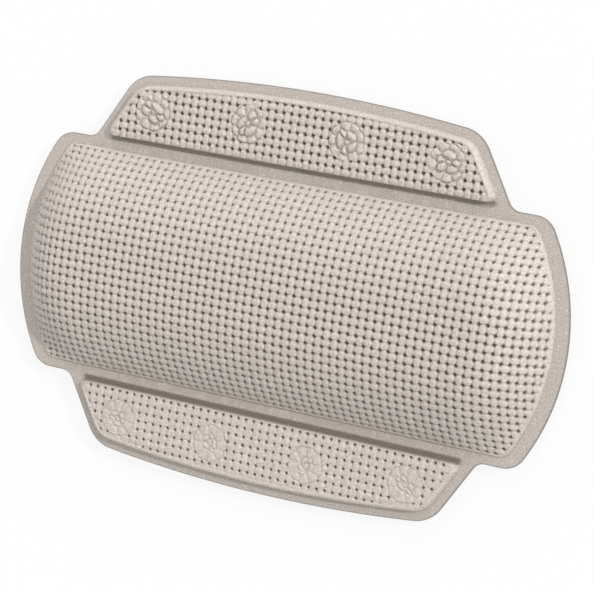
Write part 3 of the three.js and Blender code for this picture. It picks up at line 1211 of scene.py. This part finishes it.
for radius, z in cup_profile[1:]:
    grow(first_cup, spun(radius, z))
fill_level(first_cup, cup_profile[0][1])
fill_level(first_cup, cup_profile[-1][1])
close_up()


def clear_vinyl():
    """Soft clear vinyl, a little milky, with a satin surface."""
    material, wire = new_material("clear_vinyl")
    place_in_piece = wire.node("ShaderNodeTexCoord", {}, {}, "Object")
    haze = wire.node(
        "ShaderNodeTexNoise", {}, {"Vector": place_in_piece, "Scale": 180, "Detail": 2}, "Fac")
    milky = mix_colour(wire, haze, linear(222, 226, 224), linear(238, 240, 238))
    shader = wire.node(
        "ShaderNodeBsdfPrincipled", {},
        {"Base Color": milky, "Roughness": haze * 0.1 + 0.16, "IOR": 1.45, "Transmission Weight": 0.65})
    wire.node("ShaderNodeOutputMaterial", {}, {"Surface": shader})
    return material


cup_vinyl = clear_vinyl()
for side, sign in (("upper", 1), ("lower", -1)):
    for number, (x, y) in enumerate(cup_spots, 1):
        cup = first_cup.copy()
        cup.data = first_cup.data.copy()
        cup.name = cup.data.name = f"{side}_cup_{number}"
        bpy.context.scene.collection.objects.link(cup)
        place(cup, points_of(first_cup) + (x, sign * y, 0))
        cup.data.materials.append(cup_vinyl)
        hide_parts(f"{side}_suction_cup_{number}")
        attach(cup, f"{side}_cup_{number}")
bpy.data.objects.remove(first_cup)


# Studio. A white floor under the part, seen as plain white but keeping a soft shadow, with a lamp on
# the right and one above, a pale sky all round, and a camera where the photograph was taken from.
bpy.ops.object.select_all(action="DESELECT")
floor_size = 12  # metres, as in all of this section
floor_level = -0.0003
floor_glow = 0.86
bpy.ops.mesh.primitive_plane_add(size=floor_size, location=(0, 0, floor_level))
floor = begin("floor")
floor_white, wire = new_material("floor_white")
light_path = wire.tree.nodes.new("ShaderNodeLightPath")
seen = Wire(wire.tree, light_path.outputs["Is Camera Ray"])
for ray in ("Is Glossy Ray", "Is Transmission Ray"):
    seen = wire.math("MAXIMUM", seen, Wire(wire.tree, light_path.outputs[ray]))
matt = wire.node("ShaderNodeBsdfDiffuse", {}, {"Color": (0.9, 0.9, 0.9, 1)})
glow = wire.node("ShaderNodeEmission", {}, {"Color": (1, 1, 1, 1), "Strength": 1.0})
floor_surface = wire.node("ShaderNodeMixShader", {}, {0: seen * floor_glow, 1: matt, 2: glow})
wire.node("ShaderNodeOutputMaterial", {}, {"Surface": floor_surface})
floor.data.materials.append(floor_white)


def add_sun(name, direction, energy, softness):
    """A far lamp, by the direction that it is seen in from the part."""
    bpy.ops.object.light_add(type="SUN")
    sun = bpy.context.object
    sun.name = name
    sun.data.energy = energy
    sun.data.angle = math.radians(softness)
    sun.rotation_euler = Vector(direction).to_track_quat("Z", "Y").to_euler()


add_sun("right_light", direction=(0.77, 0.38, 0.51), energy=1.54, softness=4)
add_sun("top_light", direction=(0.22, 0.86, 0.45), energy=0.95, softness=35)

world = bpy.data.worlds.new("studio")
bpy.context.scene.world = world
world.use_nodes = True
sky = world.node_tree.nodes["Background"]
sky.inputs["Color"].default_value = (1, 1, 1, 1)
sky.inputs["Strength"].default_value = 0.69

camera_data = bpy.data.cameras.new("camera")
camera_data.lens = 159.3
camera_data.sensor_width = 36
camera_data.clip_end = 20
camera = bpy.data.objects.new("camera", camera_data)
bpy.context.scene.collection.objects.link(camera)
camera_place = (0.805, 0.280, 1.6255)
camera_right = (0.882, 0.123, -0.454)
camera_up = (-0.179, 0.980, -0.082)
camera_back = (0.4355, 0.1535, 0.887)
camera_turn = Matrix((camera_right, camera_up, camera_back)).transposed().to_4x4()
camera.matrix_world = Matrix.Translation(camera_place) @ camera_turn
bpy.context.scene.camera = camera
bpy.context.scene.view_settings.view_transform = "Standard"
